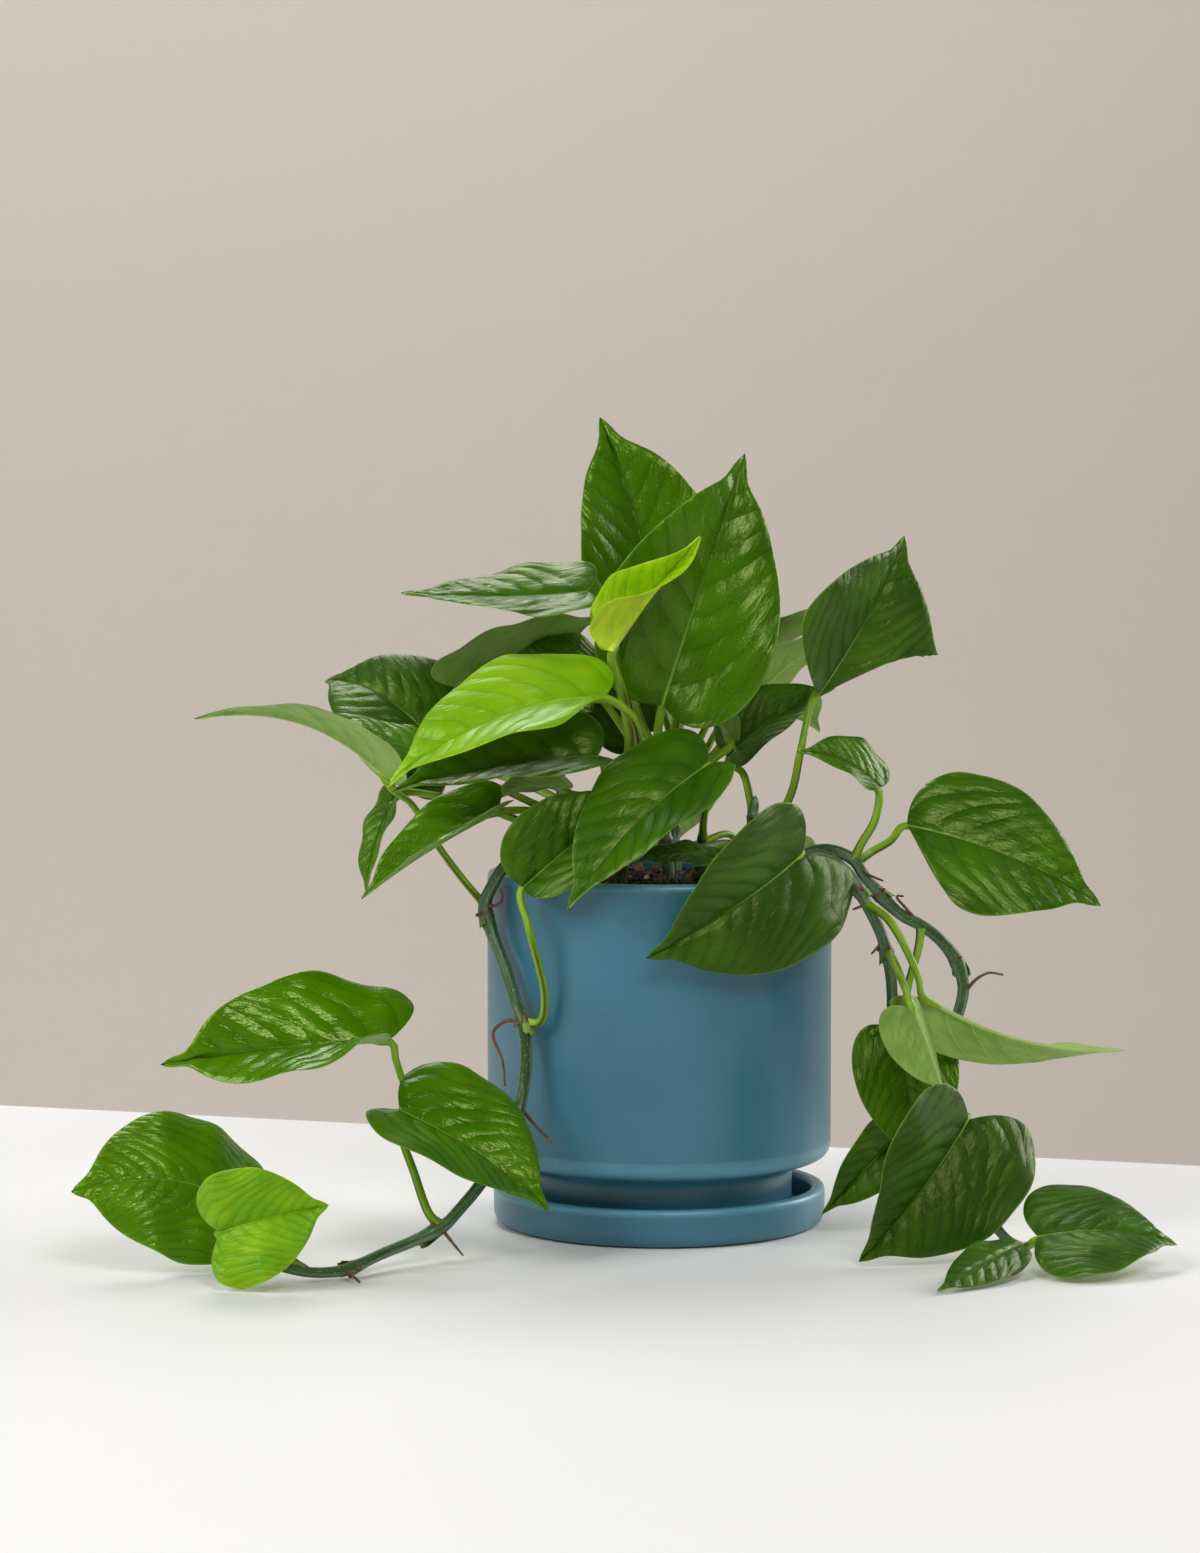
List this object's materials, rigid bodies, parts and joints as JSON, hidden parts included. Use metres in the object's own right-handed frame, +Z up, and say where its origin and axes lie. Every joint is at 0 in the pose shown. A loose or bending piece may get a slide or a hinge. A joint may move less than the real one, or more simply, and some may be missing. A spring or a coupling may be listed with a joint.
{
  "type": "potted pothos plant",
  "caption": "Jade pothos with heart-shaped leaves on upright and trailing stems, rooted in potting mix in a straight-sided glazed pot that stands in a round saucer.",
  "frame": {"origin": "centre of the saucer's flat underside, on the surface that the pot stands on", "axes": "+Z up along the pot's axis, the picture looks along +Y, +X to the picture's right"},
  "size_m": [0.4502, 0.2946, 0.3521],
  "materials": {
    "glaze": "satin",
    "potting_mix": "matte",
    "stem": "satin",
    "leaf": "satin",
    "young_leaf": "satin"
  },
  "bodies": {
    "root": {"saucer": "glaze", "pot": "glaze", "potting_mix": "potting_mix", "stem_left": "stem", "stem_front_left": "stem", "stem_front": "stem", "stem_middle": "stem", "stem_right": "stem", "stem_back": "stem", "vine_left": "stem", "vine_right": "stem", "vine_middle": "stem", "leaf_top_back": "leaf", "leaf_top_front": "leaf", "leaf_curled_lime": "young_leaf", "leaf_upper_left": "leaf", "leaf_under_left": "leaf", "leaf_dark_left": "leaf", "leaf_low_dark_left": "leaf", "leaf_far_left": "leaf", "leaf_big_lime": "young_leaf", "leaf_below_lime": "leaf", "leaf_lower_left": "leaf", "leaf_hanging_left": "leaf", "leaf_front_round": "leaf", "leaf_front_middle": "leaf", "leaf_front_right": "leaf", "leaf_upper_right": "leaf", "leaf_behind_right": "leaf", "leaf_strap_right": "leaf", "leaf_pale_right": "leaf", "leaf_small_right": "leaf", "leaf_big_right": "leaf", "leaf_pale_long": "leaf", "leaf_pale_short": "leaf", "leaf_glossy_right": "leaf", "leaf_heart_right": "leaf", "leaf_by_saucer": "leaf", "leaf_floor_right": "leaf", "leaf_floor_small": "leaf", "leaf_trailing_upper": "leaf", "leaf_trailing_middle": "leaf", "leaf_trailing_far": "leaf", "leaf_trailing_tip": "young_leaf", "leaf_pale_middle": "leaf", "leaf_behind_lime": "leaf", "leaf_shaded": "leaf", "leaf_pale_low": "leaf", "leaf_over_soil": "leaf", "leaf_back_left": "leaf", "leaf_back_top": "leaf", "leaf_back_right": "leaf", "leaf_back_low": "leaf", "leaf_back_low_right": "leaf"}
  },
  "joints": []
}
